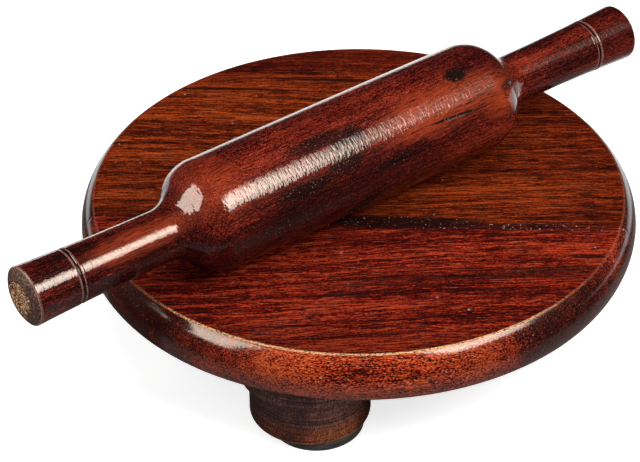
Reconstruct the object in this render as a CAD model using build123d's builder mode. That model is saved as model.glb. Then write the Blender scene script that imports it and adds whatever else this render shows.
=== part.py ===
from build123d import *
import os
from math import acos, asin, cos, degrees, radians, sin

# Chakla rolling board with its belan, in millimetres.
# +Z is up and +X runs along the grain of the board. The origin is on the ground, under the centre of the board.
# The board stands on three turned feet, and the belan lies across it, ready for use.

# Board
board_diameter = 240.0
board_thickness = 21.5
edge_radius = 15.7
widest_depth = 12.2
bands_above = 4
bands_below = 3
seam_offset = -24.5

# Dowels that register the two planks at the seam
dowel_diameter = 8.0
dowel_length = 40.0
dowel_spacing = 70.0
dowel_count = 3

# Feet
foot_height = 31.2
foot_collar_diameter = 59.0
foot_neck_diameter = 50.6
foot_neck_height = 17.6
foot_splay_height = 4.2
foot_inset = 33.7
foot_names = ["front", "right", "left"]
front_foot_angle = -101.5

# Pan-head screws that hold the feet
screw_diameter = 4.5
screw_length = 38.0
screw_point = 5.0
screw_head_diameter = 9.0
screw_head_height = 2.8
screw_slot_width = 1.2
screw_slot_depth = 1.1
counterbore_diameter = 12.0
counterbore_depth = 10.0

# Rubber pads under the feet, stuck on by eye
pad_diameter = 39.4
pad_thickness = 3.5
pad_offsets = {"front": (2.9, -4.2), "right": (-1.2, 0.8), "left": (0.6, 1.4)}

# Belan, a one-piece turned rolling pin
pin_length = 321.0
barrel_length = 138.0
barrel_diameter = 49.0
shoulder_radius = 17.3
cove_radius = 13.5
curve_bands = 5
neck_diameter = 22.2
handle_end_diameter = 25.3
end_bevel_depth = 2.6
end_face_diameter = 15.0
groove_depth = 0.5
groove_width = 1.2
groove_distance = 23.0
pin_centre = (-6.0, -11.0)
pin_heading = 40.5

# Clearances
wood_fit = 0.05
end_room = 1.0
rest_gap = 0.3
overrun = 1.0

# Levels and radii that follow from the sizes above
foot_bottom = pad_thickness
board_bottom = foot_bottom + foot_height
board_top = board_bottom + board_thickness
board_radius = board_diameter / 2
screw_bore = screw_diameter / 2 + wood_fit
screw_seat = foot_bottom + counterbore_depth
screw_tip = screw_seat + screw_length
barrel_radius = barrel_diameter / 2
pin_axis_height = board_top + rest_gap + barrel_radius

os.makedirs("parts", exist_ok=True)


def finish(piece, name):
    """Label a finished piece and write it."""
    piece.part.label = name
    export_step(piece.part, f"parts/{name}.step")


def foot_place(name, level):
    """The point at a level on the axis of the named foot."""
    angle = radians(front_foot_angle + 360 * foot_names.index(name) / len(foot_names))
    reach = board_radius - foot_inset
    return (reach * cos(angle), reach * sin(angle), level)


def bend(centre, radius, start, end, bands):
    """Points along a round stretch of a turned profile, between two directions in degrees."""
    points = []
    for step in range(bands + 1):
        turn = radians(start + (end - start) * step / bands)
        points.append((centre[0] + radius * cos(turn), centre[1] + radius * sin(turn)))
    return points


def board_section():
    """Half section of the round board: two flat faces joined by a round edge, drawn as narrow bands."""
    edge_centre = (board_radius - edge_radius, board_top - widest_depth)
    fall = degrees(asin((board_thickness - widest_depth) / edge_radius))
    rise = degrees(asin(widest_depth / edge_radius))
    below = bend(edge_centre, edge_radius, -fall, 0, bands_below)
    above = bend(edge_centre, edge_radius, 0, rise, bands_above)
    with BuildSketch(Plane.XZ) as section:
        with BuildLine():
            Polyline((0, board_top), (0, board_bottom), *below, *above[1:], close=True)
        make_face()
    return section.sketch


def bore(centre, radius, low, high):
    """Cut a round upright hole between two levels."""
    with BuildSketch(Plane.XY.offset(low)) as mouth:
        with Locations(centre[:2]):
            Circle(radius)
    extrude(mouth.sketch, amount=high - low, mode=Mode.SUBTRACT)


def pilot_holes(names):
    """Drill the pilot holes for the screws of the named feet into a plank."""
    for name in names:
        bore(foot_place(name, board_bottom), screw_bore, board_bottom - overrun, screw_tip + end_room)


def dowel_holes(inwards):
    """Drill the dowel holes into a plank from the seam."""
    with BuildSketch(seam_plane) as mouths:
        with GridLocations(dowel_spacing, dowel_spacing, dowel_count, 1):
            Circle(dowel_diameter / 2 + wood_fit)
    extrude(mouths.sketch, amount=inwards * (dowel_length / 2 + end_room), mode=Mode.SUBTRACT)


# Planks, glued edge to edge along the seam

dowel_level = (board_bottom + board_top) / 2
seam_plane = Plane(origin=(0, seam_offset, dowel_level), x_dir=(1, 0, 0), z_dir=(0, 1, 0))

with BuildPart() as rear_plank:
    revolve(board_section(), axis=Axis.Z)
    split(bisect_by=seam_plane, keep=Keep.TOP)
    dowel_holes(1)
    pilot_holes(["right", "left"])
finish(rear_plank, "rear_plank")

with BuildPart() as front_plank:
    revolve(board_section(), axis=Axis.Z)
    split(bisect_by=seam_plane, keep=Keep.BOTTOM)
    dowel_holes(-1)
    pilot_holes(["front"])
finish(front_plank, "front_plank")

# Dowels, half in each plank

with BuildPart() as seam_dowels:
    with BuildSketch(seam_plane):
        with GridLocations(dowel_spacing, dowel_spacing, dowel_count, 1):
            Circle(dowel_diameter / 2)
    extrude(amount=dowel_length / 2, both=True)
finish(seam_dowels, "seam_dowels")


def foot_plane(name):
    """Upright plane through the axis of the named foot, for its turned profiles."""
    return Plane(origin=foot_place(name, 0), x_dir=(1, 0, 0), z_dir=(0, -1, 0))


def foot_section(name):
    """Half section of a turned foot, neck, splay and collar outside, and the stepped bore for its screw inside."""
    neck = foot_neck_diameter / 2
    collar = foot_collar_diameter / 2
    splay_start = foot_bottom + foot_neck_height
    counterbore = counterbore_diameter / 2
    with BuildSketch(foot_plane(name)) as section:
        with BuildLine():
            Polyline(
                (counterbore, foot_bottom),
                (neck, foot_bottom),
                (neck, splay_start),
                (collar, splay_start + foot_splay_height),
                (collar, board_bottom),
                (screw_bore, board_bottom),
                (screw_bore, screw_seat),
                (counterbore, screw_seat),
                close=True,
            )
        make_face()
    return section.sketch


def screw_section(name):
    """Half section of a pan-head wood screw, head down, with its point up."""
    shank = screw_diameter / 2
    head = screw_head_diameter / 2
    with BuildSketch(foot_plane(name)) as section:
        with BuildLine():
            Polyline(
                (0, screw_seat - screw_head_height),
                (head, screw_seat - screw_head_height),
                (head, screw_seat),
                (shank, screw_seat),
                (shank, screw_tip - screw_point),
                (0, screw_tip),
                close=True,
            )
        make_face()
    return section.sketch


# Feet, each with a pad stuck a little off the middle of its sole

for name in foot_names:
    with BuildPart() as foot:
        revolve(foot_section(name), axis=Axis(foot_place(name, 0), (0, 0, 1)))
    finish(foot, f"foot_{name}")

    pad_x = foot_place(name, 0)[0] + pad_offsets[name][0]
    pad_y = foot_place(name, 0)[1] + pad_offsets[name][1]
    with BuildPart() as pad:
        with BuildSketch(Plane.XY):
            with Locations((pad_x, pad_y)):
                Circle(pad_diameter / 2)
        extrude(amount=pad_thickness)
    finish(pad, f"pad_{name}")

# Screws, driven up through the feet into the planks

with BuildPart() as foot_screws:
    for name in foot_names:
        revolve(screw_section(name), axis=Axis(foot_place(name, 0), (0, 0, 1)))
    with BuildSketch(Plane.XY.offset(screw_seat - screw_head_height)):
        with Locations(*[foot_place(name, 0)[:2] for name in foot_names]):
            Rectangle(screw_head_diameter + overrun, screw_slot_width)
    extrude(amount=screw_slot_depth, mode=Mode.SUBTRACT)
finish(foot_screws, "foot_screws")

# Belan, turned from one piece: barrel, shoulders, coves and flared handles

heading = radians(pin_heading)
pin_origin = (pin_centre[0], pin_centre[1], pin_axis_height)
pin_axis = Axis(pin_origin, (cos(heading), sin(heading), 0))
pin_plane = Plane(origin=pin_origin, x_dir=pin_axis.direction, z_dir=(sin(heading), -cos(heading), 0))
half_pin = pin_length / 2
half_barrel = barrel_length / 2
neck_radius = neck_diameter / 2
handle_end = handle_end_diameter / 2
curve_turn = acos(1 - (barrel_radius - neck_radius) / (shoulder_radius + cove_radius))
flare_start = half_barrel + (shoulder_radius + cove_radius) * sin(curve_turn)
flare_end = half_pin - end_bevel_depth


def handle_radius(place):
    """Radius of the flared handle at a distance from the middle of the pin."""
    share = (place - flare_start) / (flare_end - flare_start)
    return neck_radius + (handle_end - neck_radius) * share**2


with BuildPart() as belan:
    slope = degrees(curve_turn)
    shoulder = bend((half_barrel, barrel_radius - shoulder_radius), shoulder_radius, 90, 90 - slope, curve_bands)
    cove = bend((flare_start, neck_radius + cove_radius), cove_radius, 270 - slope, 270, curve_bands)
    with BuildSketch(pin_plane):
        with BuildLine():
            Line((-half_pin, 0), (half_pin, 0))
            Line((-half_barrel, barrel_radius), (half_barrel, barrel_radius))
            for side in (-1, 1):
                Polyline(*[(side * place, radius) for place, radius in shoulder + cove[1:]])
                flare = [
                    (side * flare_start, neck_radius),
                    (side * (flare_start + flare_end) / 2, neck_radius),
                    (side * flare_end, handle_end),
                ]
                Bezier(*flare[::-side])
                Polyline(
                    (side * flare_end, handle_end),
                    (side * half_pin, end_face_diameter / 2),
                    (side * half_pin, 0),
                )
        make_face()
    revolve(axis=pin_axis)
    with BuildSketch(pin_plane):
        lip = handle_radius(half_pin - groove_distance)
        for side in (-1, 1):
            groove_place = side * (half_pin - groove_distance)
            with BuildLine():
                Polyline(
                    (groove_place, lip - groove_depth),
                    (groove_place - groove_width, lip + groove_depth),
                    (groove_place + groove_width, lip + groove_depth),
                    close=True,
                )
            make_face()
    revolve(axis=pin_axis, mode=Mode.SUBTRACT)
finish(belan, "belan")
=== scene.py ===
import math

import bmesh
import bpy
from mathutils import Matrix, Vector


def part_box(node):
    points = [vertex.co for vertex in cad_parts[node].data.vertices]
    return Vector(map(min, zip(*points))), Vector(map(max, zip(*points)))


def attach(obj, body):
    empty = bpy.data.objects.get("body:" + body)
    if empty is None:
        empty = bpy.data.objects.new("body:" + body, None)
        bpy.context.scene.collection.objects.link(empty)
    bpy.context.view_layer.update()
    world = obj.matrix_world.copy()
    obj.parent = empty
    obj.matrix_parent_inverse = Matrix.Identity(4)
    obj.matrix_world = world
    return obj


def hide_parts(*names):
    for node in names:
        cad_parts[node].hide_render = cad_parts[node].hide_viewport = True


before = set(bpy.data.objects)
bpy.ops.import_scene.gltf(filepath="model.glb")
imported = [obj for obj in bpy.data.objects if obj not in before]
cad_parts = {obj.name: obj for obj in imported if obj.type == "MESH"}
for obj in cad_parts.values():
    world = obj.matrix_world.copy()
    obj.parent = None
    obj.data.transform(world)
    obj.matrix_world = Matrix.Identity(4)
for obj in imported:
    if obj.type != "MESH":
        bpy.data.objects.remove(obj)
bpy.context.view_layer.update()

# Looks of a chakla board and its belan, in metres, in the same frame as the CAD.
# Materials measure places in millimetres, with the grain of each piece along X, and bumps in metres.

mm_per_metre = 1000.0

# Sizes and places read from the frame
plank_low, plank_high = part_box("rear_plank")
board_radius = min(plank_high.x, plank_high.y)
board_top = plank_high.z
board_bottom = plank_low.z
seam_y = plank_low.y
belan_low, belan_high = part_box("belan")
pin_centre = (belan_low + belan_high) / 2
barrel_radius = (belan_high.z - belan_low.z) / 2

# Board
edge_radius = 0.0157
widest_depth = 0.0122
arris_cut = 0.0009
seam_bevel = 0.00022

# Feet and pads
collar_radius = 0.0295
neck_radius = 0.0252
sole_round = 0.0019
splay_start = 0.0211
counterbore_radius = 0.006
counterbore_top = 0.0135
screw_bore = 0.0023
brow_height = 0.0008
pad_round = 0.0006
foot_cuts = (15.4, 16.9)
foot_seeds = {"front": 20.0, "right": 51.0, "left": 82.0}

# Belan
pin_heading = math.radians(40.5)
pin_axis = Vector((math.cos(pin_heading), math.sin(pin_heading), 0))
pin_front = Vector((math.sin(pin_heading), -math.cos(pin_heading), 0))
pin_down = Vector((0, 0, -1))
half_pin = 0.1605
half_barrel = 0.069
barrel_inset = 0.00005
barrel_end_radius = 0.0242
shoulder_radius = 0.0173
cove_radius = 0.0135
handle_neck_radius = 0.0111
handle_end_radius = 0.01265
bevel_depth = 0.0026
end_face_radius = 0.0074
end_bulge = 0.00035
end_ease = 0.0003
dome_gap = 0.0002
dome_drop = 0.0001
end_grain_margin = 0.00012
groove_places = (-0.1375, 0.1375)
groove_half_width = 0.0009
groove_depth = 0.0005
lip_height = 0.00008
lip_reach = 2.4
hollow_least_radius = 0.02
split_lean = 0.075

# Hollows pressed into the barrel for the knot, the split and a small dent, each as its place along the pin,
# its turn in degrees, its size, its depth and its lean
hollows = (
    (0.0536, 68.6, (0.0052, 0.0036), 0.00035, 0.0),
    (0.044, 29.5, (0.014, 0.0009), 0.0004, -split_lean),
    (0.0767, 36.0, (0.0045, 0.0018), 0.0002, 0.0),
)

# Length on the surface of the barrel, in millimetres, for one degree of turn
barrel_degree = 0.43

# Marks of the wood seen in the photo, each as its centre and size in millimetres, softness and strength
rear_streaks = (
    ((-62.0, 77.0), (30.0, 1.6), 0.6, 1.0),
    ((-16.0, 86.0), (26.0, 1.4), 0.6, 1.0),
    ((18.0, -23.2), (34.0, 2.8), 0.6, 1.0),
    ((97.6, -2.3), (3.2, 1.7), 0.6, 0.8),
)
front_curved_streaks = (
    ((74.0, -68.9), (30.0, 3.4), 0.9, 0.75),
    ((14.0, -68.9), (34.0, 2.2), 0.9, 0.50),
)
front_streaks = (
    ((84.0, -58.0), (26.0, 5.0), 0.9, 0.45),
    ((97.0, -46.4), (9.0, 1.5), 0.7, 1.0),
    ((18.0, -26.6), (34.0, 3.2), 0.6, 1.0),
    ((70.0, -26.6), (42.0, 2.6), 0.6, 0.85),
)
# Brighter patches on the belan, partly paler wood and partly painted sheen on the lit upper front of the
# barrel and on the left shoulder
belan_pale_wood_and_sheen = (
    ((69.0, 13.0), (10.0, 10.0), 0.9, 1.0),
    ((42.0, 19.0), (34.0, 9.0), 0.9, 1.0),
    ((-108.0, 22.0), (24.0, 12.0), 0.9, 0.8),
    ((-72.0, 30.0), (10.0, 16.0), 0.9, 0.45),
)
belan_blotches = (
    ((-24.0, 27.0), (14.0, 3.6), 0.8, 0.8),
    ((-10.0, 23.4), (9.0, 4.0), 0.8, 0.8),
    ((-14.0, 14.0), (9.0, 3.4), 0.8, 0.9),
    ((-35.0, 10.4), (14.0, 3.0), 0.8, 0.85),
    ((11.0, 5.2), (12.0, 2.6), 0.8, 0.7),
    ((76.0, 15.5), (5.0, 2.2), 0.8, 0.7),
    ((-42.0, -1.7), (16.0, 4.0), 0.8, 0.6),
)

# The grip that dulls the lacquer, the knot and the split, each as its centre, size and softness
grip_mark = ((-90.0, -78.0), (19.0, 19.0), 0.35)
knot_mark = ((53.6, 29.5), (5.2, 3.6), 0.5)
split_mark = ((44.0, 15.9), (14.0, 0.75), 0.5)

# Distances from the middle of the board, in millimetres, where its rim and its worn arris begin and end
rim_reach = (113.0, 116.0)
wear_inside = (113.65, 113.95)
wear_outside = (114.90, 114.50)

# Worn lines beside a groove, in millimetres outwards from its middle
outer_lip_place = 1.15
inner_lip_place = -0.95

# Tints that every colour of a wood is multiplied by
rear_tint = (0.79, 0.60, 0.52)
front_tint = (0.80, 0.64, 0.66)
belan_tint = (0.76, 0.62, 0.62)

# Camera and light
camera_elevation = math.radians(34.98)
camera_turn = math.radians(1.9)
camera_distance = 1.0227
focal_pixels = 2367.2
principal_point = (358.3, 187.6)
image_size = (640, 462)
sensor_width = 36.0
card_tint = (1.0, 0.86, 0.72)
key_place = (0.59, -0.375, 0.77)
left_place = (-0.7765, -0.3457, 0.67)

# Floor and room, whose brightness differs for the camera, for gloss and for soft light
floor_radius = 6.0
floor_white = (0.80, 0.80, 0.80)
floor_bounce = (0.46, 0.45, 0.44)
floor_gloss_near = (0.22, 0.20, 0.19)
floor_gloss_far = (0.02, 0.02, 0.02)
floor_gloss_behind = (0.40, 0.40, 0.40)
floor_camera_glow = 0.75
floor_near = (0.24, 0.17)
floor_behind = (0.10, 0.20)
backlight_start = (0.10, 0.14)
backlight_end = (0.50, 0.40)
room_span = (-0.6, 0.5)
room_front = 0.14
room_back = 0.07
room_in_gloss = 0.02
backdrop = 1.0

# Steps of the meshes, as lengths, and as numbers around a turned form and along an arc
flat_step = 0.004
collar_step = 0.006
flank_step = 0.002
barrel_step = 0.0015
handle_step = 0.0022
groove_step = 0.00022
end_face_step = 0.0012
turn_steps = 288
foot_turn_steps = 160
pad_turn_steps = 128
edge_steps = 40
splay_steps = 14
shoulder_steps = 26
sole_steps = 8
pad_round_steps = 4
floor_steps = 96


def arc(centre, radius, start, end, steps):
    """Points along an arc of a profile, between two directions in degrees."""
    points = []
    for step in range(steps + 1):
        turn = math.radians(start + (end - start) * step / steps)
        points.append((centre[0] + radius * math.cos(turn), centre[1] + radius * math.sin(turn)))
    return points


def soft_corner(before, corner, after, steps=5):
    """Points of a small curve that rounds the corner between two neighbouring points."""
    points = []
    for step in range(steps + 1):
        share = step / steps
        weights = ((1 - share) ** 2, 2 * share * (1 - share), share * share)
        points.append(tuple(
            weights[0] * before[i] + weights[1] * corner[i] + weights[2] * after[i] for i in range(2)
        ))
    return points


def between(first, last, step):
    """Evenly spaced points from first to last, no further apart than step."""
    count = max(1, math.ceil(math.dist(first, last) / step))
    return [tuple(first[i] + (last[i] - first[i]) * k / count for i in range(2)) for k in range(count + 1)]


def turned(profile, closed=False, steps=turn_steps):
    """Mesh of a form turned about Z, from profile points as (radius, level)."""
    form = bmesh.new()
    rings = []
    for radius, level in profile:
        if radius < 1e-9:
            rings.append([form.verts.new((0, 0, level))])
            continue
        ring = []
        for step in range(steps):
            angle = math.tau * step / steps
            ring.append(form.verts.new((radius * math.cos(angle), radius * math.sin(angle), level)))
        rings.append(ring)
    pairs = list(zip(rings, rings[1:]))
    if closed:
        pairs.append((rings[-1], rings[0]))
    for upper, lower in pairs:
        for step in range(steps):
            following = (step + 1) % steps
            if len(upper) == 1:
                form.faces.new((upper[0], lower[step], lower[following]))
            elif len(lower) == 1:
                form.faces.new((upper[step], lower[0], upper[following]))
            else:
                form.faces.new((upper[step], lower[step], lower[following], upper[following]))
    bmesh.ops.recalc_face_normals(form, faces=form.faces)
    return form


def piece(name, form, material, body, node, place=None, sharp=35):
    """Make a smooth object of the form that stands for a CAD node and rides on its body."""
    mesh = bpy.data.meshes.new(name)
    form.to_mesh(mesh)
    form.free()
    mesh.polygons.foreach_set("use_smooth", [True] * len(mesh.polygons))
    mesh.set_sharp_from_angle(angle=math.radians(sharp))
    mesh.materials.append(material)
    item = bpy.data.objects.new(name, mesh)
    bpy.context.scene.collection.objects.link(item)
    if place is not None:
        item.matrix_world = place
    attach(item, body)
    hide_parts(node)
    return item


class Shade:
    """A node material being built. Its methods return output sockets."""

    def __init__(self, name):
        self.material = bpy.data.materials.new(name)
        self.material.use_nodes = True
        self.tree = self.material.node_tree
        self.tree.nodes.clear()

    def node(self, kind, **settings):
        made = self.tree.nodes.new(kind)
        for key, value in settings.items():
            setattr(made, key, value)
        return made

    def feed(self, socket, value):
        if isinstance(value, bpy.types.NodeSocket):
            self.tree.links.new(value, socket)
        else:
            socket.default_value = value

    def math(self, operation, *values):
        made = self.node("ShaderNodeMath", operation=operation)
        for socket, value in zip(made.inputs, values):
            self.feed(socket, value)
        return made.outputs[0]

    def plus(self, first, second):
        return self.math("ADD", first, second)

    def minus(self, first, second):
        return self.math("SUBTRACT", first, second)

    def linear(self, value, slope, start):
        """Slope times the value, plus start."""
        return self.math("MULTIPLY_ADD", value, slope, start)

    def times(self, first, *others):
        """Product of numbers."""
        for other in others:
            first = self.math("MULTIPLY", first, other)
        return first

    def away(self, value, centre):
        """How far a number is from a centre."""
        return self.math("ABSOLUTE", self.minus(value, centre))

    def stain(self, colour, mask, strength, tint):
        """Colour turned towards a tint where the mask is strong."""
        return self.mix(self.times(mask, strength), colour, tint)

    def vector(self, operation, *values):
        made = self.node("ShaderNodeVectorMath", operation=operation)
        for socket, value in zip(made.inputs, values):
            self.feed(socket, value)
        return made.outputs["Value"] if operation in ("LENGTH", "DOT_PRODUCT") else made.outputs["Vector"]

    def length(self, first, second):
        """Distance from the origin of two numbers that stand at right angles."""
        return self.vector("LENGTH", self.join(first, second, 0.0))

    def split(self, vector):
        made = self.node("ShaderNodeSeparateXYZ")
        self.feed(made.inputs[0], vector)
        return made.outputs[0], made.outputs[1], made.outputs[2]

    def join(self, x, y, z):
        made = self.node("ShaderNodeCombineXYZ")
        for socket, value in zip(made.inputs, (x, y, z)):
            self.feed(socket, value)
        return made.outputs[0]

    def noise(self, vector, stretch, detail, roughness, colour=False):
        """Cloudy pattern about one half. Stretch is in cells per millimetre."""
        made = self.node("ShaderNodeTexNoise")
        made.inputs["Scale"].default_value = 1.0
        made.inputs["Detail"].default_value = detail
        made.inputs["Roughness"].default_value = roughness
        self.feed(made.inputs["Vector"], self.vector("MULTIPLY", vector, stretch))
        return made.outputs["Color" if colour else "Fac"]

    def line_noise(self, value, scale, detail, roughness):
        """Pattern of one number, such as a distance, about one half."""
        made = self.node("ShaderNodeTexNoise", noise_dimensions="1D")
        made.inputs["Scale"].default_value = 1.0
        made.inputs["Detail"].default_value = detail
        made.inputs["Roughness"].default_value = roughness
        self.feed(made.inputs["W"], self.times(value, scale))
        return made.outputs["Fac"]

    def cells(self, vector, scale, output="Distance"):
        """Random cells, with the distance from each cell's point or a colour of its own."""
        made = self.node("ShaderNodeTexVoronoi")
        made.inputs["Scale"].default_value = 1.0
        self.feed(made.inputs["Vector"], self.vector("MULTIPLY", vector, (scale, scale, scale)))
        return made.outputs[output]

    def rise(self, value, low, high):
        """0 below low, 1 above high, smooth between. Low may be the larger, for a fall."""
        made = self.node("ShaderNodeMapRange", interpolation_type="SMOOTHSTEP")
        flip = low > high
        self.feed(made.inputs["Value"], value)
        made.inputs["From Min"].default_value = high if flip else low
        made.inputs["From Max"].default_value = low if flip else high
        made.inputs["To Min"].default_value = 1.0 if flip else 0.0
        made.inputs["To Max"].default_value = 0.0 if flip else 1.0
        return made.outputs["Result"]

    def ramp(self, value, stops):
        made = self.node("ShaderNodeValToRGB")
        band = made.color_ramp
        while len(band.elements) < len(stops):
            band.elements.new(1.0)
        for element, (place, colour) in zip(band.elements, stops):
            element.position = place
            element.color = (*colour, 1.0)
        self.feed(made.inputs[0], value)
        return made.outputs["Color"]

    def mix(self, share, first, second, blend="MIX"):
        made = self.node("ShaderNodeMix", data_type="RGBA", blend_type=blend)
        self.feed(made.inputs["Factor"], share)
        colours = [socket for socket in made.inputs if socket.type == "RGBA"]
        for socket, value in zip(colours, (first, second)):
            if isinstance(value, tuple):
                value = (*value, 1.0)
            self.feed(socket, value)
        return next(socket for socket in made.outputs if socket.type == "RGBA")

    def spot(self, along, across, centre, size, soft):
        """1 inside an ellipse on the surface, falling softly to 0 outside it."""
        length = self.math("DIVIDE", self.minus(along, centre[0]), size[0])
        width = self.math("DIVIDE", self.minus(across, centre[1]), size[1])
        reach = self.plus(self.times(length, length), self.times(width, width))
        return self.rise(reach, 1 + soft, max(0.0, 1 - soft))

    def spots(self, along, across, rows):
        """The strongest of several spots, each given as its centre, size, softness and strength."""
        return self.most(*(
            self.times(self.spot(along, across, centre, size, soft), strength)
            for centre, size, soft, strength in rows
        ))

    def blend(self, share, first, second):
        """Number between first and second."""
        return self.linear(share, self.minus(second, first), first)

    def most(self, *masks):
        """The strongest of several masks."""
        strongest = masks[0]
        for mask in masks[1:]:
            strongest = self.math("MAXIMUM", strongest, mask)
        return strongest

    def surface(
        self, colour, roughness, bumps, coat=0.0, coat_roughness=0.1, coat_bumps=(), level=0.5, metal=0.0
    ):
        """Finish the material with a principled shader. Bumps are (height, distance) pairs."""
        shader = self.node("ShaderNodeBsdfPrincipled")
        output = self.node("ShaderNodeOutputMaterial")
        self.feed(shader.inputs["Base Color"], colour)
        self.feed(shader.inputs["Roughness"], roughness)
        shader.inputs["Specular IOR Level"].default_value = level
        shader.inputs["Metallic"].default_value = metal
        self.feed(shader.inputs["Coat Weight"], coat)
        shader.inputs["Coat Roughness"].default_value = coat_roughness
        for target, pairs in (("Normal", bumps), ("Coat Normal", coat_bumps)):
            normal = None
            for height, distance in pairs:
                bump = self.node("ShaderNodeBump")
                bump.inputs["Strength"].default_value = 1.0
                bump.inputs["Distance"].default_value = distance
                self.feed(bump.inputs["Height"], height)
                if normal is not None:
                    self.feed(bump.inputs["Normal"], normal)
                normal = bump.outputs[0]
            if normal is not None:
                self.feed(shader.inputs[target], normal)
        self.tree.links.new(shader.outputs[0], output.inputs[0])
        return self.material


def millimetres(shade):
    """Position on the piece in millimetres."""
    scaled = shade.node("ShaderNodeVectorMath", operation="SCALE")
    shade.tree.links.new(shade.node("ShaderNodeTexCoord").outputs["Object"], scaled.inputs[0])
    scaled.inputs["Scale"].default_value = mm_per_metre
    return scaled.outputs["Vector"]


def grain(shade, place, pith, warp, seed, slant=0.0):
    """Patterns of wood whose grain runs along X, each about one half.

    The pores are 0 or 1, and wavy is the place after the grain has wandered.
    """
    x, y, z = shade.split(place)
    leaning = shade.join(x, shade.minus(y, shade.times(x, slant)), z)
    offset = (seed, seed / 3, -seed / 2)
    moved = shade.vector("ADD", leaning, offset)
    wavy = leaning
    drifts = (((0.005, 0.014, 0.014), warp), ((0.022, 0.08, 0.08), 3.5), ((0.09, 0.4, 0.4), 0.7))
    for stretch, reach in drifts:
        drift = shade.noise(moved, stretch, 1.0, 0.5, colour=True)
        drift = shade.vector("MULTIPLY", shade.vector("SUBTRACT", drift, (0.5, 0.5, 0.5)), (0, reach, reach))
        wavy = shade.vector("ADD", wavy, drift)
    _, wy, wz = shade.split(wavy)
    distance = shade.length(shade.minus(wy, pith[0]), shade.minus(wz, pith[1]))
    distance = shade.plus(distance, seed)
    shifted = shade.vector("ADD", wavy, offset)
    return {
        "bands": shade.line_noise(distance, 0.07, 2.0, 0.5),
        "rings": shade.line_noise(distance, 0.42, 5.0, 0.72),
        "streaks": shade.noise(shifted, (0.007, 0.26, 0.26), 3.0, 0.6),
        "fibre": shade.noise(shifted, (0.030, 1.2, 1.2), 3.0, 0.62),
        "fine": shade.noise(shifted, (0.13, 3.2, 3.2), 2.0, 0.6),
        "grit": shade.noise(shifted, (0.9, 2.2, 2.2), 2.0, 0.6),
        "patches": shade.noise(shifted, (0.012, 0.04, 0.04), 3.0, 0.55),
        "pores": shade.rise(shade.noise(shifted, (0.10, 2.1, 2.1), 1.0, 0.5), 0.61, 0.67),
        "wavy": wavy,
    }


def weigh(shade, *pairs):
    """Weighted sum of patterns that are each about one half."""
    total = 0.5
    for pattern, weight in pairs:
        total = shade.linear(shade.minus(pattern, 0.5), weight, total)
    return total


def specks(shade, place, scale, share):
    """Tiny bright dots, on a share of the cells of a random pattern."""
    near = shade.cells(place, scale)
    pick, girth, _ = shade.split(shade.cells(place, scale, output="Color"))
    near = shade.math("DIVIDE", near, shade.linear(girth, 1.1, 0.45))
    return shade.times(shade.rise(near, 0.30, 0.16), shade.rise(pick, 1 - share, 1 - share + 0.02))


def bare_roughness(shade, look):
    """Roughness of the wood under its lacquer, a little uneven."""
    return shade.linear(look["fine"], 0.25, 0.42)


# Tones from the darkest grain to the brightest, each as its place on the scale and its colour
rear_tones = (
    (0.10, (0.009, 0.0020, 0.0008)), (0.32, (0.048, 0.0068, 0.0012)), (0.48, (0.130, 0.0150, 0.0022)),
    (0.62, (0.24, 0.031, 0.0040)), (0.90, (0.50, 0.110, 0.018)),
)
rear_red_tones = (
    (0.10, (0.008, 0.0014, 0.0008)), (0.34, (0.028, 0.0026, 0.0012)), (0.50, (0.080, 0.0058, 0.0020)),
    (0.68, (0.17, 0.014, 0.0036)), (0.92, (0.36, 0.060, 0.012)),
)
front_tones = (
    (0.10, (0.007, 0.0010, 0.0008)), (0.32, (0.034, 0.0018, 0.0012)), (0.48, (0.100, 0.0042, 0.0020)),
    (0.62, (0.19, 0.0090, 0.0034)), (0.84, (0.52, 0.076, 0.020)),
)
# Brighter orange tones for the front of the round edge: painted light on its lit front
front_painted_light_tones = (
    (0.10, (0.020, 0.0026, 0.0014)), (0.30, (0.14, 0.0110, 0.0030)), (0.48, (0.42, 0.0340, 0.0065)),
    (0.64, (0.70, 0.085, 0.0140)), (0.88, (0.95, 0.27, 0.070)),
)


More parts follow.
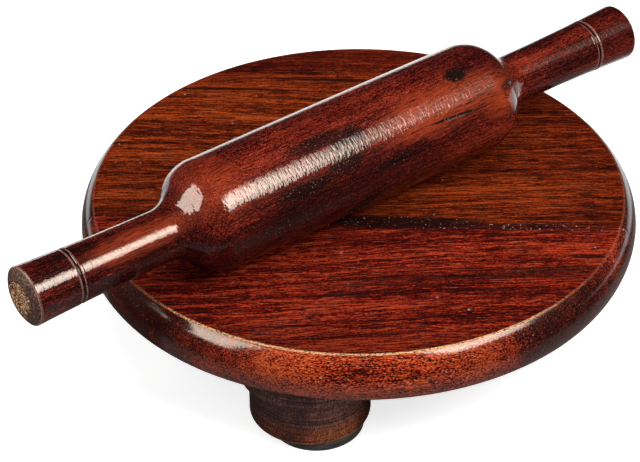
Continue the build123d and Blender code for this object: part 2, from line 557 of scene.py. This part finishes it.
def board_wood(name, rear):
    """Oiled, lightly lacquered hardwood of one plank."""
    shade = Shade(name)
    place = millimetres(shade)
    x, y, z = shade.split(place)
    if rear:
        look = grain(shade, place, pith=(-190.0, -40.0), warp=16.0, seed=11.0, slant=0.03)
    else:
        look = grain(shade, place, pith=(170.0, -70.0), warp=18.0, seed=47.0, slant=0.09)
    reach = shade.length(x, y)
    rim = shade.rise(reach, *rim_reach)
    flat = weigh(
        shade, (look["bands"], 0.45), (look["rings"], 0.6), (look["streaks"], 0.75), (look["fibre"], 1.3),
        (look["fine"], 2.0), (look["grit"], 1.3), (look["patches"], 0.4),
    )
    round_edge = weigh(
        shade, (look["bands"], 0.5), (look["rings"], 0.25), (look["streaks"], 0.7), (look["fibre"], 0.9),
        (look["fine"], 1.4), (look["grit"], 2.4), (look["patches"], 0.7),
    )
    tone = shade.blend(rim, flat, round_edge)
    if rear:
        colour = shade.ramp(tone, rear_tones)
        red = shade.ramp(tone, rear_red_tones)
        wy = shade.split(look["wavy"])[1]
        back = shade.rise(shade.minus(wy, shade.times(x, 0.035)), 84.0, 98.0)
        right = shade.times(shade.rise(x, 40.0, 118.0), 0.45)
        colour = shade.mix(shade.most(back, right, shade.times(rim, 0.8)), colour, red)
    else:
        colour = shade.ramp(tone, front_tones)
        # Painted light: the front of the round edge, most near its top, turns in patches towards the brighter
        # tones
        glow = shade.ramp(tone, front_painted_light_tones)
        front = shade.times(rim, shade.rise(shade.away(x, 8.0), 62.0, 18.0))
        front = shade.times(front, shade.rise(look["patches"], 0.28, 0.52))
        front = shade.times(front, shade.linear(shade.rise(z, 38.0, 47.0), 0.7, 0.3))
        colour = shade.stain(colour, front, 0.90, glow)
    # Painted shade: the left and right of the round edge are darkened, in patches
    shaded_sides = shade.times(rim, shade.rise(shade.math("ABSOLUTE", x), 48.0, 84.0))
    shaded_sides = shade.times(shaded_sides, shade.rise(look["patches"], 0.68, 0.44))
    colour = shade.stain(colour, shaded_sides, 0.72, (0.020, 0.0050, 0.0032))
    wobble = shade.times(shade.minus(look["streaks"], 0.5), 5.0)
    across = shade.plus(y, wobble)
    if rear:
        dark = shade.spots(x, across, rear_streaks)
    else:
        curve = shade.linear(x, -0.155, across)
        dark = shade.most(
            shade.spots(x, curve, front_curved_streaks), shade.spots(x, across, front_streaks)
        )
    dark = shade.times(dark, shade.rise(look["fibre"], 0.18, 0.46))
    colour = shade.stain(colour, dark, 0.9, (0.006, 0.0030, 0.0025))
    colour = shade.stain(colour, look["pores"], 0.70, (0.012, 0.0024, 0.0016))
    # Pale line along the arris, partly finish rubbed thin and partly painted highlight, paler and stronger
    # towards the front, and dust in the darkest streaks
    worn = shade.times(shade.rise(reach, *wear_inside), shade.rise(reach, *wear_outside))
    worn = shade.times(worn, shade.rise(z, 52.0, 55.0))
    worn = shade.times(worn, shade.rise(look["grit"], 0.36, 0.56))
    highlit_front = shade.rise(y, -62.0, -104.0)
    bare_and_highlit = shade.mix(highlit_front, (0.60, 0.20, 0.11), (1.0, 0.66, 0.30))
    colour = shade.mix(shade.times(worn, shade.linear(highlit_front, 0.62, 0.36)), colour, bare_and_highlit)
    from_seam = shade.away(y, seam_y * mm_per_metre)
    by_seam = shade.rise(from_seam, 6.5, 3.5)
    dust = shade.times(specks(shade, place, scale=1.15, share=0.42), shade.times(dark, by_seam))
    dust = shade.times(dust, shade.rise(shade.noise(place, (0.34, 0.55, 0.55), 2.0, 0.6), 0.44, 0.56))
    dust = shade.most(dust, shade.times(specks(shade, place, scale=0.55, share=0.012), 0.8))
    colour = shade.mix(dust, colour, (0.86, 0.78, 0.70))
    glints = shade.times(specks(shade, place, scale=1.3, share=0.10), shade.rise(look["fibre"], 0.40, 0.60))
    colour = shade.stain(colour, glints, 0.60, shade.mix(rim, (0.50, 0.13, 0.05), (0.72, 0.40, 0.20)))
    seam = shade.rise(from_seam, 0.55, 0.1)
    colour = shade.stain(colour, seam, 0.7, (0.010, 0.003, 0.002))
    near_front = shade.times(shade.rise(y, -88.0, -106.0), shade.rise(reach, 114.5, 113.5))
    colour = shade.stain(colour, near_front, 0.30, (0.0, 0.0, 0.0))
    colour = shade.mix(1.0, colour, rear_tint if rear else front_tint, "MULTIPLY")
    pore_walls = shade.minus(1.0, look["pores"])
    dimples = shade.times(shade.noise(place, (1.3, 1.3, 1.3), 2.0, 0.65), shade.linear(rim, 0.75, 0.25))
    # Lacquer thick on the edge, thin on the flat, and dulled where the left of the edge is gripped
    lacquer = shade.linear(rim, 0.88, 0.12)
    gripped = shade.spot(x, y, *grip_mark)
    lacquer = shade.times(lacquer, shade.linear(gripped, -0.88, 1.0))
    return shade.surface(
        colour, bare_roughness(shade, look), level=0.05,
        bumps=((look["fibre"], 0.00006), (look["fine"], 0.00005), (pore_walls, 0.00004)),
        coat=lacquer, coat_roughness=0.10,
        coat_bumps=((look["fine"], 0.000008), (dimples, 0.000028)),
    )


def upright_place(shade):
    """Position on a foot in millimetres, with its turning axis as X."""
    x, y, z = shade.split(millimetres(shade))
    return shade.join(z, x, y)


def belan_place(shade):
    """Position on the pin in millimetres from its middle: along it, towards its front and down."""
    from_middle = shade.vector("SUBTRACT", millimetres(shade), tuple(mm_per_metre * c for c in pin_centre))
    axes = (pin_axis, pin_front, pin_down)
    return shade.join(*(shade.vector("DOT_PRODUCT", from_middle, axis) for axis in axes))


# Tones of the feet: darker and greyer above, as painted shade under the board, and redder near the sole
foot_collar_shade_tones = (
    (0.12, (0.012, 0.0060, 0.0050)), (0.36, (0.036, 0.0130, 0.0105)), (0.52, (0.080, 0.0250, 0.0190)),
    (0.70, (0.150, 0.050, 0.036)), (0.92, (0.30, 0.120, 0.085)),
)
foot_sole_tones = (
    (0.12, (0.016, 0.0045, 0.0026)), (0.36, (0.066, 0.0130, 0.0060)), (0.52, (0.150, 0.0290, 0.0110)),
    (0.70, (0.26, 0.060, 0.0200)), (0.92, (0.44, 0.160, 0.060)),
)


def foot_wood(name, seed):
    """Darker wood of a turned foot, with the grain upright and turning marks around it."""
    shade = Shade(name)
    place = upright_place(shade)
    level = shade.split(place)[0]
    look = grain(shade, place, pith=(38.0, 21.0), warp=10.0, seed=seed)
    turned_bands = shade.line_noise(level, 0.55, 3.0, 0.65)
    scuffs = shade.noise(shade.vector("ADD", place, (seed, 0.0, 0.0)), (1.1, 0.09, 0.09), 3.0, 0.65)
    tone = weigh(
        shade, (turned_bands, 0.6), (scuffs, 0.7), (look["bands"], 0.4), (look["grit"], 1.4),
        (look["fine"], 0.6), (look["patches"], 1.5),
    )
    upper = shade.ramp(tone, foot_collar_shade_tones)
    lower = shade.ramp(tone, foot_sole_tones)
    # Painted shade: the upper part of each foot, under the board, takes the darker grey tones
    colour = shade.mix(shade.rise(level, 14.5, 10.5), upper, lower)
    cuts = shade.most(*(shade.rise(shade.away(level, cut), 0.42, 0.12) for cut in foot_cuts))
    colour = shade.stain(colour, cuts, 0.7, (0.012, 0.005, 0.004))
    colour = shade.stain(colour, look["pores"], 0.4, (0.010, 0.004, 0.003))
    # Pale band just above the sole, broken by the scuffs: painted highlight along the lower edge
    rim = shade.times(shade.rise(level, 5.6, 4.8), shade.rise(scuffs, 0.30, 0.60))
    colour = shade.stain(colour, rim, 0.45, (0.34, 0.18, 0.13))
    marks = shade.noise(place, (2.4, 0.12, 0.12), 2.0, 0.6)
    return shade.surface(
        colour, bare_roughness(shade, look), level=0.06, bumps=((look["fibre"], 0.00003), (marks, 0.00004)),
        coat=0.5, coat_roughness=0.20, coat_bumps=((marks, 0.00003),),
    )


# Tones of the belan
belan_tones = (
    (0.10, (0.004, 0.0011, 0.0009)), (0.34, (0.018, 0.0018, 0.0014)), (0.51, (0.062, 0.0040, 0.0026)),
    (0.68, (0.165, 0.0125, 0.0056)), (0.92, (0.46, 0.070, 0.024)),
)


def belan_wood(name):
    """Glossy dark red wood of the pin, with its knot, split, blotches, turning marks and worn groove lips."""
    shade = Shade(name)
    place = belan_place(shade)
    along, x, y = shade.split(place)
    angle = shade.times(shade.math("ARCTAN2", shade.times(y, -1.0), x), 180 / math.pi)
    across = shade.times(angle, barrel_degree)
    look = grain(shade, place, pith=(26.0, 30.0), warp=16.0, seed=83.0)
    dashes = shade.noise(look["wavy"], (0.55, 2.4, 2.4), 2.0, 0.6)
    grains = shade.noise(place, (2.0, 2.0, 2.0), 2.0, 0.65)
    tone = weigh(
        shade, (look["bands"], 0.30), (look["rings"], 0.12), (look["streaks"], 0.30), (look["fibre"], 0.35),
        (look["fine"], 0.8), (dashes, 0.9), (grains, 1.2), (look["patches"], 1.3),
    )
    colour = shade.ramp(tone, belan_tones)
    wobble = shade.times(shade.minus(look["streaks"], 0.5), 4.0)
    bent = shade.plus(across, wobble)
    # Brighter patches, partly paler wood and partly painted sheen
    bright = shade.times(shade.spots(along, bent, belan_pale_wood_and_sheen), shade.rise(look["fine"], 0.28, 0.60))
    colour = shade.stain(colour, bright, 0.72, (0.52, 0.080, 0.018))
    # The knot, the split with its lean, and the blotches
    slit_line = shade.linear(along, split_lean, shade.plus(across, shade.times(wobble, 0.15)))
    dark = shade.most(
        shade.spot(along, across, *knot_mark),
        shade.spot(along, slit_line, *split_mark),
        shade.spots(along, bent, belan_blotches),
    )
    dark = shade.times(dark, shade.rise(look["fibre"], 0.12, 0.40))
    colour = shade.stain(colour, dark, 0.92, (0.005, 0.0025, 0.0022))
    colour = shade.stain(colour, look["pores"], 0.6, (0.008, 0.0020, 0.0018))
    # Pale worn lines on the lips of the two grooves, dark inside them
    patchy = shade.rise(look["grit"], 0.30, 0.55)
    for groove in groove_places:
        side = math.copysign(1.0, groove)
        offset = shade.minus(shade.times(along, side), abs(groove) * mm_per_metre)
        inner = shade.rise(shade.math("ABSOLUTE", offset), 0.55, 0.25)
        outer_lip = shade.rise(shade.away(offset, outer_lip_place), 0.55, 0.30)
        inner_lip = shade.rise(shade.away(offset, inner_lip_place), 0.34, 0.16)
        worn = shade.times(shade.most(outer_lip, inner_lip), patchy)
        colour = shade.stain(colour, worn, 0.75, (0.44, 0.27, 0.21))
        colour = shade.stain(colour, inner, 0.85, (0.006, 0.003, 0.0025))
    # Pale line on the crisp edge at each end, in patches: painted highlight
    rim = shade.times(shade.rise(shade.math("ABSOLUTE", along), 157.1, 157.7), patchy)
    colour = shade.stain(colour, rim, 0.5, (0.50, 0.30, 0.21))
    dust = shade.times(specks(shade, place, scale=1.2, share=0.22), dark)
    dust = shade.most(dust, shade.times(specks(shade, place, scale=0.75, share=0.015), 0.6))
    colour = shade.stain(colour, dust, 0.6, (0.50, 0.38, 0.32))
    glints = shade.times(specks(shade, place, scale=1.5, share=0.16), shade.rise(look["patches"], 0.40, 0.60))
    colour = shade.stain(colour, glints, 0.55, (0.30, 0.10, 0.07))
    marks = shade.noise(place, (1.8, 0.20, 0.20), 2.0, 0.6)
    wrinkles = shade.noise(place, (0.95, 0.36, 0.36), 1.0, 0.6)
    colour = shade.mix(1.0, colour, belan_tint, "MULTIPLY")
    return shade.surface(
        colour, bare_roughness(shade, look), level=0.05,
        bumps=((look["fibre"], 0.00004), (look["fine"], 0.00003), (marks, 0.00003)),
        coat=1.0, coat_roughness=0.06,
        coat_bumps=((grains, 0.000010), (wrinkles, 0.00010)),
    )


# Tones of the belan's ends, in the middle and on the bevel
core_tones = (
    (0.34, (0.010, 0.003, 0.002)), (0.46, (0.15, 0.040, 0.014)), (0.56, (0.60, 0.24, 0.085)),
    (0.72, (1.0, 0.68, 0.40)),
)
bevel_tones = (
    (0.22, (0.016, 0.006, 0.004)), (0.50, (0.085, 0.036, 0.024)), (0.85, (0.30, 0.150, 0.100)),
)


def end_grain(name):
    """Rough cut end of the pin: a dark bevelled band about a golden, pitted middle."""
    shade = Shade(name)
    place = belan_place(shade)
    _, x, y = shade.split(place)
    radius = shade.length(x, y)
    ring_distance = shade.length(shade.minus(x, 5.0), shade.minus(y, 9.0))
    rings = shade.line_noise(ring_distance, 1.5, 3.0, 0.6)
    pits = shade.noise(place, (0.8, 1.1, 1.1), 3.0, 0.7)
    coarse = shade.noise(place, (0.3, 0.45, 0.45), 2.0, 0.6)
    wander = shade.times(shade.minus(coarse, 0.5), 7.0)
    core = shade.rise(shade.plus(wander, radius), 8.2, 6.6)
    tone = weigh(shade, (rings, 0.6), (pits, 2.2))
    middle = shade.ramp(tone, core_tones)
    band = shade.ramp(tone, bevel_tones)
    colour = shade.mix(core, band, middle)
    # Pale ring on the crisp edge of the end, in patches: painted highlight
    lip = shade.times(shade.rise(radius, 11.9, 12.4), shade.rise(coarse, 0.30, 0.52))
    colour = shade.stain(colour, lip, 0.65, (0.50, 0.32, 0.22))
    rough = shade.linear(pits, 0.3, 0.45)
    return shade.surface(
        colour, rough, level=0.2, bumps=((pits, 0.00025), (rings, 0.0001)), coat=0.15, coat_roughness=0.4
    )


def dowel_wood(name):
    """Plain pale beech with short flecks, the dowels lying along Y."""
    shade = Shade(name)
    x, y, z = shade.split(millimetres(shade))
    place = shade.join(y, x, z)
    look = grain(shade, place, pith=(20.0, 10.0), warp=4.0, seed=5.0)
    flecks = shade.rise(shade.noise(place, (0.4, 3.2, 3.2), 1.0, 0.5), 0.62, 0.72)
    tone = weigh(shade, (look["rings"], 0.6), (look["fibre"], 0.6), (look["fine"], 0.4))
    colour = shade.ramp(tone, (
        (0.2, (0.36, 0.22, 0.11)), (0.55, (0.52, 0.34, 0.18)), (0.9, (0.64, 0.46, 0.27)),
    ))
    colour = shade.stain(colour, flecks, 0.5, (0.26, 0.14, 0.07))
    rough = shade.linear(look["fine"], 0.2, 0.55)
    return shade.surface(colour, rough, bumps=((look["fibre"], 0.00005), (look["fine"], 0.00003)))


def screw_steel(name):
    """Zinc plated steel with fine scratches and dull patches."""
    shade = Shade(name)
    place = millimetres(shade)
    patches = shade.noise(place, (0.7, 0.7, 0.7), 3.0, 0.6)
    scratches = shade.noise(place, (3.0, 3.0, 14.0), 2.0, 0.6)
    colour = shade.ramp(weigh(shade, (patches, 0.8), (scratches, 0.5)), (
        (0.2, (0.34, 0.32, 0.28)), (0.55, (0.55, 0.53, 0.48)), (0.9, (0.72, 0.70, 0.66)),
    ))
    rough = shade.linear(patches, 0.3, 0.22)
    return shade.surface(colour, rough, bumps=((scratches, 0.00002), (patches, 0.00003)), metal=1.0)


def pad_rubber(name):
    """Matt dark rubber with a dusty, pebbled skin and scuffs near its edge."""
    shade = Shade(name)
    place = millimetres(shade)
    pebbles = shade.cells(place, 1.3)
    dust = shade.noise(place, (0.18, 0.18, 0.5), 4.0, 0.65)
    scuffs = shade.noise(place, (0.5, 2.2, 1.4), 3.0, 0.7)
    colour = shade.ramp(weigh(shade, (dust, 1.0), (scuffs, 0.6), (pebbles, 0.2)), (
        (0.2, (0.020, 0.019, 0.018)), (0.55, (0.045, 0.044, 0.042)), (0.85, (0.13, 0.125, 0.12)),
    ))
    rough = shade.linear(dust, 0.3, 0.5)
    return shade.surface(colour, rough, bumps=((pebbles, 0.00008), (scuffs, 0.00008)))


# Planks: the whole board is turned, then parted at the seam

edge_centre = (board_radius - edge_radius, board_top - widest_depth)
rise = math.degrees(math.asin(widest_depth / edge_radius))
fall = math.degrees(math.asin((board_top - board_bottom - widest_depth) / edge_radius))
cut_turn = math.degrees(arris_cut / edge_radius)
edge = arc(edge_centre, edge_radius, rise, -fall, edge_steps)
edge_flank = arc(edge_centre, edge_radius, rise - cut_turn, cut_turn - fall, edge_steps)
upper_corner, lower_corner = edge[0], edge[-1]


def board_form():
    """Mesh of the whole round board."""
    top_inside = (upper_corner[0] - arris_cut, board_top)
    bottom_inside = (lower_corner[0] - arris_cut, board_bottom)
    profile = between((0, board_top), top_inside, flat_step)
    profile += soft_corner(top_inside, upper_corner, edge_flank[0])[1:]
    profile += edge_flank[1:]
    profile += soft_corner(edge_flank[-1], lower_corner, bottom_inside)[1:]
    profile += between(bottom_inside, (0, board_bottom), flat_step)[1:]
    return turned(profile)


def plank_form(side):
    """Mesh of the part of the board on one side of the seam, with its seam edges just broken."""
    form = board_form()
    bmesh.ops.bisect_plane(
        form, geom=form.verts[:] + form.edges[:] + form.faces[:], dist=1e-7,
        plane_co=(0, seam_y, 0), plane_no=(0, side, 0), clear_inner=True,
    )
    rim = [line for line in form.edges if line.is_boundary]
    bmesh.ops.contextual_create(form, geom=rim)
    bmesh.ops.bevel(
        form, geom=rim, offset=seam_bevel, segments=2, profile=0.5, affect="EDGES", clamp_overlap=True
    )
    bmesh.ops.recalc_face_normals(form, faces=form.faces)
    return form


wood = board_wood("rear_plank_wood", rear=True)
piece("rear_board", plank_form(1), wood, "board", "rear_plank")
wood = board_wood("front_plank_wood", rear=False)
piece("front_board", plank_form(-1), wood, "board", "front_plank")

# Feet and pads


def foot_form(sole):
    """Mesh of a collar, a hollow splay and a short neck with a rounded sole, and the stepped screw bore."""
    sole_centre = (neck_radius - sole_round, sole + sole_round)
    hollow = arc((collar_radius, splay_start), collar_radius - neck_radius, 90, 180, splay_steps)
    brow = (collar_radius, hollow[0][1] + brow_height)
    profile = between((screw_bore, board_bottom), (collar_radius, board_bottom), collar_step)
    profile += between((collar_radius, board_bottom), brow, flank_step)[1:]
    profile += soft_corner(brow, hollow[0], hollow[2], steps=6)[1:]
    profile += hollow[3:]
    profile += between(hollow[-1], (neck_radius, sole + sole_round), flank_step)[1:]
    profile += arc(sole_centre, sole_round, 0, -90, sole_steps)[1:]
    profile += between((neck_radius - sole_round, sole), (counterbore_radius, sole), flat_step)[1:]
    profile += [(counterbore_radius, counterbore_top), (screw_bore, counterbore_top)]
    return turned(profile, closed=True, steps=foot_turn_steps)


def pad_form(radius, bottom, top):
    """Mesh of a round pad with eased edges."""
    profile = between((0, top), (radius - pad_round, top), flat_step)
    profile += arc((radius - pad_round, top - pad_round), pad_round, 90, 0, pad_round_steps)[1:]
    profile += arc((radius - pad_round, bottom + pad_round), pad_round, 0, -90, pad_round_steps)
    profile += between((radius - pad_round, bottom), (0, bottom), flat_step)[1:]
    return turned(profile, steps=pad_turn_steps)


def stand(low, high):
    """Move that takes a form from the origin to the upright axis of a box."""
    centre = (low + high) / 2
    return Matrix.Translation((centre.x, centre.y, 0))


for name, seed in foot_seeds.items():
    low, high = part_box(f"foot_{name}")
    place = stand(low, high)
    wood = foot_wood(f"foot_{name}_wood", seed)
    piece(f"turned_foot_{name}", foot_form(low.z), wood, "board", f"foot_{name}", place)

    low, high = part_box(f"pad_{name}")
    place = stand(low, high)
    pad = pad_form((high.x - low.x) / 2, low.z, high.z)
    rubber = pad_rubber(f"pad_{name}_rubber")
    piece(f"rubber_pad_{name}", pad, rubber, "board", f"pad_{name}", place)

# Belan, turned about its own axis and then laid in place


def half_outline():
    """Outline of the pin from the middle of the barrel to one end, as (distance, radius)."""
    turn = math.acos(1 - (barrel_end_radius - handle_neck_radius) / (shoulder_radius + cove_radius))
    slope = math.degrees(turn)
    flare_start = half_barrel + (shoulder_radius + cove_radius) * math.sin(turn)
    flare_end = half_pin - bevel_depth
    belly = barrel_radius - barrel_inset
    shoulder_centre = (half_barrel, barrel_end_radius - shoulder_radius)
    cove_centre = (flare_start, handle_neck_radius + cove_radius)
    points = []
    for place, _ in between((0, 0), (half_barrel, 0), barrel_step):
        share = place / half_barrel
        points.append((place, belly - (belly - barrel_end_radius) * share ** 2))
    points += arc(shoulder_centre, shoulder_radius, 90, 90 - slope, shoulder_steps)[1:]
    points += arc(cove_centre, cove_radius, 270 - slope, 270, shoulder_steps)[1:]
    near_groove = (groove_places[1] - 3 * groove_half_width, groove_places[1] + 3 * groove_half_width)
    stations = between((flare_start, 0), (near_groove[0], 0), handle_step)[1:]
    stations += between((near_groove[0], 0), (near_groove[1], 0), groove_step)[1:]
    stations += between((near_groove[1], 0), (flare_end - end_ease, 0), handle_step)[1:]
    for place, _ in stations:
        share = (place - flare_start) / (flare_end - flare_start)
        points.append((place, handle_neck_radius + (handle_end_radius - handle_neck_radius) * share ** 2))
    rim = (flare_end, handle_end_radius)
    bevel_end = (half_pin, end_face_radius)
    middle = ((rim[0] + bevel_end[0]) / 2 + end_bulge, (rim[1] + bevel_end[1]) / 2 + end_bulge)
    dome_start = (flare_end + dome_gap, handle_end_radius - end_ease)
    dome = soft_corner(dome_start, middle, (half_pin - dome_drop, end_face_radius), steps=8)
    points += soft_corner(points[-1], rim, dome[0], steps=4)[1:]
    points += dome[1:]
    points += between((half_pin, end_face_radius - end_ease), (half_pin, 0), end_face_step)
    return points


def grooved(place, radius):
    """Radius of the pin with the two grooves and their raised lips cut in."""
    for groove in groove_places:
        off = (place - groove) / groove_half_width
        if abs(off) < 1:
            radius -= groove_depth * (0.5 + 0.5 * math.cos(math.pi * off))
        elif abs(off) < lip_reach:
            radius += lip_height * math.sin(math.pi * (abs(off) - 1) / (lip_reach - 1))
    return radius


half = half_outline()
outline = [(-place, radius) for place, radius in reversed(half)] + half[1:]
pin = turned([(grooved(place, radius) if radius > 0 else 0, place) for place, radius in outline])

# The hollows are pressed in along the radius
for vertex in pin.verts:
    radius = math.hypot(vertex.co.x, vertex.co.y)
    if radius < hollow_least_radius:
        continue
    angle = math.atan2(-vertex.co.y, vertex.co.x)
    for place, degrees, size, depth, lean in hollows:
        along = vertex.co.z - place
        across = (angle - math.radians(degrees)) * radius - along * lean
        reach = (along / size[0]) ** 2 + (across / size[1]) ** 2
        if reach < 1:
            scale = 1 - depth * (1 - reach) ** 2 / radius
            vertex.co.x *= scale
            vertex.co.y *= scale

laid = Matrix((pin_front, pin_down, pin_axis)).transposed().to_4x4()
pin.transform(Matrix.Translation(pin_centre) @ laid)
belan = piece("turned_belan", pin, belan_wood("belan_wood_finish"), "belan", "belan", sharp=50)
belan.data.materials.append(end_grain("belan_end_grain"))
for face in belan.data.polygons:
    if abs((face.center - pin_centre).dot(pin_axis)) > half_pin - bevel_depth + end_grain_margin:
        face.material_index = 1

# Carried-over CAD nodes keep their shape and get their own finish

hidden = {"seam_dowels": dowel_wood("dowel_beech"), "foot_screws": screw_steel("screw_zinc")}
for node, material in hidden.items():
    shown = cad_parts[node]
    shown.data.materials.clear()
    shown.data.materials.append(material)

# Floor, light and camera

floor_form = bmesh.new()
bmesh.ops.create_circle(floor_form, cap_ends=True, cap_tris=False, segments=floor_steps, radius=floor_radius)
floor_mesh = bpy.data.meshes.new("floor")
floor_form.to_mesh(floor_mesh)
floor_form.free()
floor = bpy.data.objects.new("floor", floor_mesh)
bpy.context.scene.collection.objects.link(floor)

shade = Shade("floor_paint")
light_path = shade.node("ShaderNodeLightPath")
underside = shade.node("ShaderNodeNewGeometry").outputs["Backfacing"]
paint = shade.node("ShaderNodeBsdfDiffuse")
floor_x, floor_y, _ = shade.split(shade.node("ShaderNodeTexCoord").outputs["Object"])
near = shade.rise(shade.length(floor_x, floor_y), *floor_near)
around = shade.mix(near, floor_gloss_far, floor_gloss_near)
mirrored_floor = shade.mix(shade.rise(floor_y, *floor_behind), around, floor_gloss_behind)
plain = shade.mix(light_path.outputs["Is Diffuse Ray"], floor_white, floor_bounce)
pale = shade.mix(light_path.outputs["Is Glossy Ray"], plain, mirrored_floor)
links = shade.tree.links
links.new(pale, paint.inputs["Color"])
glow = shade.node("ShaderNodeEmission")
glow.inputs["Color"].default_value = (1, 1, 1, 1)
behind = shade.times(shade.rise(floor_y, *backlight_start), shade.rise(floor_y, *backlight_end))
backlight = shade.times(light_path.outputs["Is Glossy Ray"], behind)
strength = shade.linear(light_path.outputs["Is Camera Ray"], floor_camera_glow, backlight)
links.new(strength, glow.inputs["Strength"])
lit = shade.node("ShaderNodeAddShader")
clear = shade.node("ShaderNodeBsdfTransparent")
choice = shade.node("ShaderNodeMixShader")
output = shade.node("ShaderNodeOutputMaterial")
links.new(paint.outputs[0], lit.inputs[0])
links.new(glow.outputs[0], lit.inputs[1])
links.new(underside, choice.inputs[0])
links.new(lit.outputs[0], choice.inputs[1])
links.new(clear.outputs[0], choice.inputs[2])
links.new(choice.outputs[0], output.inputs[0])
floor_mesh.materials.append(shade.material)

world = bpy.data.worlds.new("studio")
world.use_nodes = True
bpy.context.scene.world = world
tree = world.node_tree
tree.nodes.clear()
path = tree.nodes.new("ShaderNodeLightPath")
direction = tree.nodes.new("ShaderNodeSeparateXYZ")
tree.links.new(tree.nodes.new("ShaderNodeTexCoord").outputs["Generated"], direction.inputs[0])
room = tree.nodes.new("ShaderNodeMapRange")
room.inputs["From Min"].default_value = room_span[0]
room.inputs["From Max"].default_value = room_span[1]
room.inputs["To Min"].default_value = room_front
room.inputs["To Max"].default_value = room_back
tree.links.new(direction.outputs["Y"], room.inputs["Value"])
mirrored = tree.nodes.new("ShaderNodeMix")
mirrored.data_type = "FLOAT"
tree.links.new(path.outputs["Is Glossy Ray"], mirrored.inputs[0])
tree.links.new(room.outputs[0], mirrored.inputs[2])
mirrored.inputs[3].default_value = room_in_gloss
pick = tree.nodes.new("ShaderNodeMix")
pick.data_type = "FLOAT"
tree.links.new(path.outputs["Is Camera Ray"], pick.inputs[0])
tree.links.new(mirrored.outputs[0], pick.inputs[2])
pick.inputs[3].default_value = backdrop
background = tree.nodes.new("ShaderNodeBackground")
background.inputs["Color"].default_value = (1, 1, 1, 1)
tree.links.new(pick.outputs[0], background.inputs["Strength"])
world_output = tree.nodes.new("ShaderNodeOutputWorld")
tree.links.new(background.outputs[0], world_output.inputs[0])

target = Vector((0, 0, board_top))


def lamp(name, place, size, level, shift=(0, 0), ahead=0.0, shown=True):
    """Soft rectangular light facing the board. Where it stands ahead of its place it is a card, which lights
    the gloss alone. Level is its brightness for its size."""
    back = (Vector(place) - target).normalized()
    side = Vector((0, 0, 1)).cross(back).normalized()
    up = back.cross(side)
    light = bpy.data.lights.new(name, "AREA")
    light.shape = "RECTANGLE"
    light.size, light.size_y = size
    light.energy = level * math.pi * size[0] * size[1]
    if ahead:
        light.color = card_tint
    item = bpy.data.objects.new(name, light)
    bpy.context.scene.collection.objects.link(item)
    item.visible_camera = False
    item.visible_diffuse = not ahead
    item.visible_glossy = shown
    centre = Vector(place) + side * shift[0] + up * shift[1] - back * ahead
    item.matrix_world = Matrix.Translation(centre) @ Matrix((side, up, back)).transposed().to_4x4()


lamp("key", key_place, size=(0.64, 0.48), level=7.9, shown=False)
lamp("near_card", key_place, size=(0.54, 0.42), level=11.5, shift=(-0.04, -0.04), ahead=0.02)
lamp("middle_card", key_place, size=(0.63, 0.38), level=7.5, shift=(0.01, 0.07), ahead=0.03)
lamp("far_card", key_place, size=(0.84, 0.46), level=1.1, shift=(0.09, 0.02), ahead=0.04)
lamp("left_fill", left_place, size=(0.62, 0.56), level=3.3, shown=False)
lamp("left_card", left_place, size=(0.66, 0.60), level=12.0, shift=(0.03, -0.05), ahead=0.02)
lamp("rear_card", (-0.13, 0.34, 0.04), size=(0.38, 0.06), level=1.5, ahead=0.01)
lamp("overhead", (0.0, -0.10, 1.35), size=(0.9, 0.7), level=4.04, shown=False)

forward = Vector((0, math.cos(camera_elevation), -math.sin(camera_elevation)))
upward = Vector((0, math.sin(camera_elevation), math.cos(camera_elevation)))
sideways = Vector((1, 0, 0))
turn = Matrix.Rotation(camera_turn, 3, "Z")
camera_data = bpy.data.cameras.new("photo_camera")
camera_data.sensor_width = sensor_width
camera_data.lens = focal_pixels * sensor_width / image_size[0]
camera_data.clip_start = 0.01
camera_data.clip_end = 50.0
camera = bpy.data.objects.new("photo_camera", camera_data)
bpy.context.scene.collection.objects.link(camera)
level = Matrix((sideways, upward, -forward)).transposed().to_quaternion()
middle_ray = (
    forward
    + sideways * (image_size[0] / 2 - principal_point[0]) / focal_pixels
    - upward * (image_size[1] / 2 - principal_point[1]) / focal_pixels
).normalized()
aimed = forward.rotation_difference(middle_ray) @ level
camera.location = turn @ (forward * -camera_distance) + Vector((0, 0, board_top))
camera.rotation_mode = "QUATERNION"
camera.rotation_quaternion = turn.to_quaternion() @ aimed
bpy.context.scene.camera = camera

bpy.context.scene.view_settings.view_transform = "Standard"
